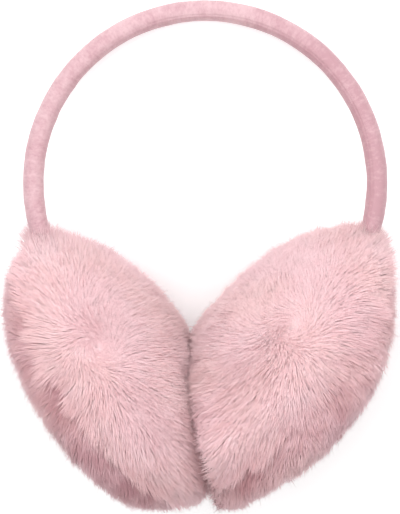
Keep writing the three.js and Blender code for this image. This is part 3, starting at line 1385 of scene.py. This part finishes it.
    def _clear(self, lines: np.ndarray, rng: np.random.Generator) -> np.ndarray:
        """Keep the strands off the other pad, the band and the surface they lie on.

        Args:
            lines: three points a strand.
            rng: the seeded generator.

        Returns:
            The lines, moved where they had to be.
        """
        count = len(lines)
        close = rng.uniform(*self.cut.meeting_reach, count)
        above = rng.uniform(*self.cut.above_surface, count) * MM
        cleared = lines.copy()
        for level in range(1, 3):
            points = self.contact.hold(cleared[:, level], self.pad.side, close)
            points[:, 2] += np.abs(points[:, 0] - cleared[:, level, 0]) * self.cut.turn_forward
            points = self.band.clear(points)
            world = self.worn.to_world(points)
            world[:, 2] = np.maximum(world[:, 2], above)
            cleared[:, level] = (world - self.worn.centre) @ self.worn.axes.T / MM
        return cleared

    def _ribbons(
        self,
        lines: np.ndarray,
        normals: np.ndarray,
        roots: np.ndarray,
        finish: bpy.types.Material,
        rng: np.random.Generator,
    ) -> bpy.types.Object:
        """Join the strands as one mesh of fine tapered blades.

        Args:
            lines: three points a strand.
            normals: directions out of the backing.
            roots: roots in the worn frame.
            finish: the fur's material.
            rng: the seeded generator.

        Returns:
            The fur piece.
        """
        count = len(lines)
        ways = unit(np.diff(lines, axis=1))
        ways = np.stack([ways[:, 0], unit(ways[:, 0] + ways[:, 1])], axis=1)
        flat = unit(np.cross(ways, normals[:, None, :]))
        raised = np.cross(flat, ways)
        roll = rng.normal(scale=self.cut.roll, size=(count, 1, 1))
        wide = np.array([self.cut.root_wide, self.cut.middle_wide])
        sizes = wide[None, :, None] * rng.uniform(*self.cut.width_spread, (count, 1, 1)) / 2.0
        edge = (flat * np.cos(roll) + raised * np.sin(roll)) * sizes
        places = np.empty((count, BLADE_POINTS, 3))
        places[:, 0:4:2] = lines[:, :2] - edge
        places[:, 1:4:2] = lines[:, :2] + edge
        places[:, 4] = lines[:, 2]
        blades = np.arange(count)[:, None]
        corners = (np.array(BLADE_CORNERS) + blades * BLADE_POINTS).ravel()
        starts = (np.array(BLADE_STARTS) + blades * len(BLADE_CORNERS)).ravel()
        mesh = bpy.data.meshes.new(self.pad.piece_name(self.panel, "fur"))
        mesh.vertices.add(count * BLADE_POINTS)
        mesh.vertices.foreach_set("co", self.worn.to_world(places.reshape(-1, 3)).ravel())
        mesh.loops.add(len(corners))
        mesh.loops.foreach_set("vertex_index", corners.astype(np.int32))
        mesh.polygons.add(len(starts))
        mesh.polygons.foreach_set("loop_start", starts.astype(np.int32))
        mesh.polygons.foreach_set("use_smooth", np.ones(len(starts), dtype=bool))
        mesh.update(calc_edges=True)
        self._map(mesh, roots, corners, rng)
        shade = unit(normals[:, None, :] + raised * self.cut.own_shade)
        shade = self.worn.turned(shade[:, BLADE_LEVELS].reshape(-1, 3))
        mesh.normals_split_custom_set_from_vertices(shade.astype(np.float32))
        return mesh_object(self.pad.piece_name(self.panel, "fur"), mesh, finish)

    def _map(
        self,
        mesh: bpy.types.Mesh,
        roots: np.ndarray,
        corners: np.ndarray,
        rng: np.random.Generator,
    ) -> None:
        """Give each strand its tone across the map and its root-to-tip run upwards.

        Args:
            mesh: the joined strands.
            roots: roots in the worn frame.
            corners: the mesh's vertex at each face corner.
            rng: the seeded generator.
        """
        count = len(roots)
        tones = self.tones
        patches = sum(Waver(rng, waves).at(roots) * tones.patchy for waves in tones.patch_waves)
        tone = tones.middle + patches + rng.normal(scale=tones.spread, size=count)
        local = (roots - self.pad.centre()) @ self.pad.axes().T
        off_seam = np.abs(local[:, 1])
        if self.panel is Panel.OUTER_SIDE:
            # Painted shade along the parting beside the rim seam.
            parting_shade = 1.0 - ease(off_seam, *tones.parting_near)
            parting_shade = parting_shade * ease(local[:, 0] / self.pad.long, *tones.parting_along)
            wander = tones.parting_wander * Waver(rng, tones.parting_waves).at(roots)
            # Painted shading of the outer side, less the painted shade along the parting.
            tone = tone + self.pad.outer_painted_shading - parting_shade * (self.pad.parting_painted_shade + wander)
            # Painted light over the far outer side.
            far = ease(-local[:, 1], *tones.far_from)
            tone = tone + (tones.far_painted_light - self.pad.outer_painted_shading) * far
        else:
            # Painted shade along the rim seam.
            tone = tone - tones.rim_painted_shade * (1.0 - ease(off_seam, *tones.rim_near))
        # Painted shadow spots under the rim, on the front only.
        for place, strength in self.pad.painted_shadow_spots:
            along_spot = (local[:, 0] - place) / tones.spot_long
            across_spot = (local[:, 1] + tones.spot_outwards) / tones.spot_wide
            spot = np.exp(-(along_spot**2 + across_spot**2))
            tone = tone - strength * spot * (local[:, 2] > 0.0)
        tone = np.clip(tone, *tones.limits)
        warmth = tones.warmth + tones.warmth_wander * Waver(rng, tones.warmth_waves).at(roots)
        warm = rng.uniform(size=count) < warmth
        across = tone[:, None] + np.array(BLADE_ACROSS) * MAP_BLADE_WIDE
        lowest = np.where(warm, WARM_FROM, 0.0) + MAP_MARGIN
        upward = lowest[:, None] + np.array(BLADE_ALONG) * (WARM_FROM - 2.0 * MAP_MARGIN)
        places = np.stack([across.ravel(), upward.ravel()], axis=1)[corners]
        layer = mesh.uv_layers.new(name=STRAND_MAP)
        layer.uv.foreach_set("vector", places.ravel())


@dataclass(frozen=True)
class Lamp:
    """A soft square light that faces the object: where it hangs, its side and its power."""

    name: str
    place: tuple[float, float, float]
    size: float
    watts: float


@dataclass
class Studio:
    """The pale floor, the soft lights and the camera at the photograph's angle."""

    worn: WornFrame
    distance: float = 2.2
    view_high: float = 0.1989
    view_across: float = -2.0
    view_up: float = -28.8
    floor_half: float = 3.0
    room_light: float = 0.6
    lamps: tuple[Lamp, ...] = (
        Lamp("window_light", (-0.15, 0.96, 1.37), 1.6, 24.5),
        Lamp("left_fill", (-1.1, 0.1, 1.2), 1.0, 2.0),
        Lamp("right_fill", (1.1, 0.1, 1.2), 1.0, 3.0),
    )

    def build(self) -> None:
        """Make the floor, the lights and the camera."""
        work = bmesh.new()
        bmesh.ops.create_grid(work, x_segments=1, y_segments=1, size=self.floor_half)
        floor = from_bmesh("floor", work, FloorFinish().build())
        for lamp in self.lamps:
            self._light(lamp)
        world = bpy.data.worlds.new("soft_room")
        world.use_nodes = True
        backdrop = world.node_tree.nodes["Background"]
        backdrop.inputs["Color"].default_value = WHITE
        backdrop.inputs["Strength"].default_value = self.room_light
        bpy.context.scene.world = world
        bpy.context.scene.view_settings.view_transform = "Standard"
        self._camera()

    def _light(self, lamp: Lamp) -> None:
        """Hang a light.

        Args:
            lamp: the light.
        """
        light = bpy.data.lights.new(lamp.name, "AREA")
        light.size = lamp.size
        light.energy = lamp.watts
        hung = bpy.data.objects.new(lamp.name, light)
        hung.location = lamp.place
        hung.rotation_euler = (-Vector(lamp.place)).to_track_quat("-Z", "Y").to_euler()
        bpy.context.scene.collection.objects.link(hung)

    def _camera(self) -> None:
        """Look straight at the plane of the arch, framed as the photograph is."""
        lens = bpy.data.cameras.new("camera")
        lens.lens = lens.sensor_width * self.distance / self.view_high
        target = np.array([[self.view_across, self.view_up, self.distance / MM]])
        eye = bpy.data.objects.new("camera", lens)
        turn = Matrix(self.worn.axes.T.tolist()).to_4x4()
        eye.matrix_world = Matrix.Translation(Vector(self.worn.to_world(target)[0])) @ turn
        bpy.context.scene.collection.objects.link(eye)
        bpy.context.scene.camera = eye


def main() -> None:
    """Build the earmuffs and their stage."""
    logging.basicConfig(level=logging.INFO, format="%(name)s: %(message)s")
    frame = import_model()
    worn = WornFrame.from_headband(frame["nodes"]["headband"])
    LOG.info("arch centre %s, front %s", worn.centre.round(5), worn.axes[2].round(5))

    band = Headband(worn)
    velvet = band.build(VelvetFinish("velvet_pile"))
    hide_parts("headband")
    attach(velvet, "root")
    report(velvet)

    pads = [
        Pad(
            "left", Side.LEFT, long=125.0, thick=60.0, lean=33.5, seat=19.6, offset=3.5,
            outer_swell=-0.06, outer_trim=0.03, corner_trim=0.0, outer_painted_shading=-0.17,
            parting_painted_shade=0.02, painted_shadow_spots=((38.0, 0.3),), whorl=(-0.23, 0.64, 0.73),
        ),
        Pad(
            "right", Side.RIGHT, long=130.0, thick=63.0, lean=40.6, seat=22.6, offset=1.6,
            outer_swell=0.06, outer_trim=0.30, corner_trim=0.07, outer_painted_shading=0.06,
            parting_painted_shade=0.2, painted_shadow_spots=((-7.0, 0.15), (34.0, 0.45)), whorl=(-0.23, 0.74, 0.64),
        ),
    ]
    contact = Contact(
        middle=(pads[0].centre() + pads[1].centre()) / 2.0,
        mean_long=(pads[0].long + pads[1].long) / 2.0,
        mean_thick=(pads[0].thick + pads[1].thick) / 2.0,
    )
    finishes = {
        Panel.EAR_SIDE: FurFinish("ear_side_strands").build(),
        # The outer panels' colours are deeper: partly the outer fur's own deeper colour and partly
        # painted shade, with the deep colour carrying the painted shade of the partings.
        Panel.OUTER_SIDE: FurFinish(
            "outer_side_strands",
            root=(0.86, 0.56, 0.60, 1.0),
            deep=(0.56, 0.29, 0.32, 1.0),
            light=(0.90, 0.62, 0.66, 1.0),
            warm_root=(0.86, 0.56, 0.57, 1.0),
            warm_deep=(0.57, 0.29, 0.31, 1.0),
            warm_light=(0.90, 0.62, 0.63, 1.0),
        ).build(),
    }
    underfur = BackingFinish("underfur").build()
    seed = FIRST_SEED
    for pad in pads:
        for panel in Panel:
            backing = pad.skin(panel, worn, contact, underfur)
            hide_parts(pad.node_name(panel))
            coat = FurCoat(pad, panel, FurCut(), FurTone(), worn, contact, band, seed)
            fur = coat.build(backing, finishes[panel])
            for piece in (backing, fur):
                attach(piece, "root")
                report(piece)
            seed += 1

    Studio(worn).build()


if __name__ == "__main__":
    main()
